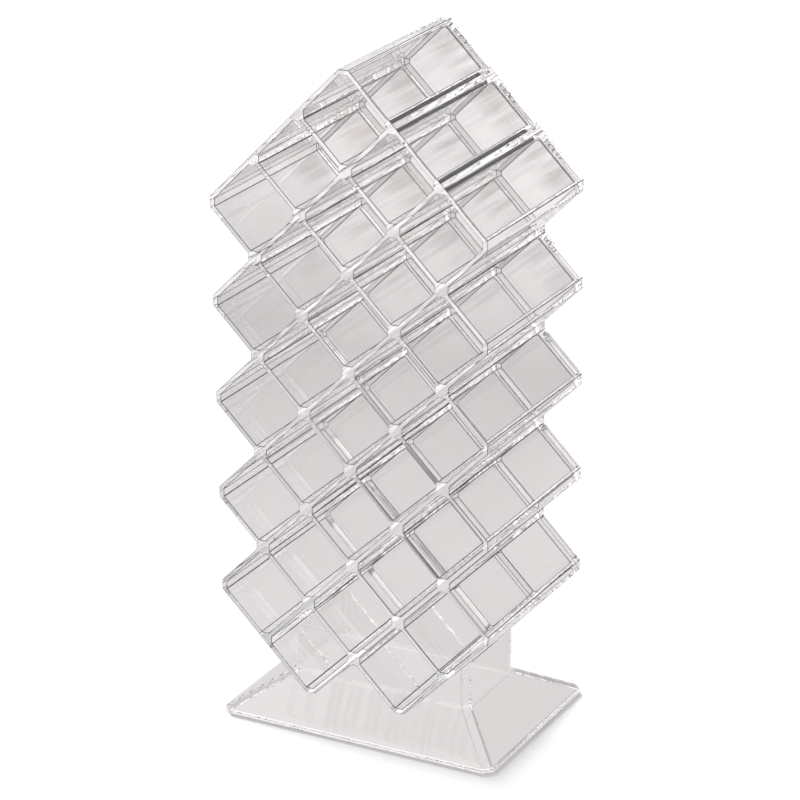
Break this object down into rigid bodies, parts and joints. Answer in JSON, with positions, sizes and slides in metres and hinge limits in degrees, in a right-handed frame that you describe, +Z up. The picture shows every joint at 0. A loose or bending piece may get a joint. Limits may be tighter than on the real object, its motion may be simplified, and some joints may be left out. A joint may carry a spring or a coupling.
{
  "type": "lipstick organizer",
  "caption": "Clear tower of square pockets turned on edge that lifts out of a hollow flared foot with a notched neck.",
  "frame": {"origin": "on the table, under the middle of the foot", "axes": "+Z up, -Y out of the pockets' mouths towards the person using it, +X to that person's right"},
  "size_m": [0.1156, 0.0808, 0.2629],
  "materials": {
    "foot": "clear, polished",
    "tower": "clear, polished"
  },
  "bodies": {
    "foot": {"foot": "foot"},
    "tower": {"tower": "tower"}
  },
  "joints": [
    {"name": "tower_lift", "type": "slide", "parent": "foot", "child": "tower", "axis": [0, 0, 1], "range_m": [0, 0.025]}
  ]
}
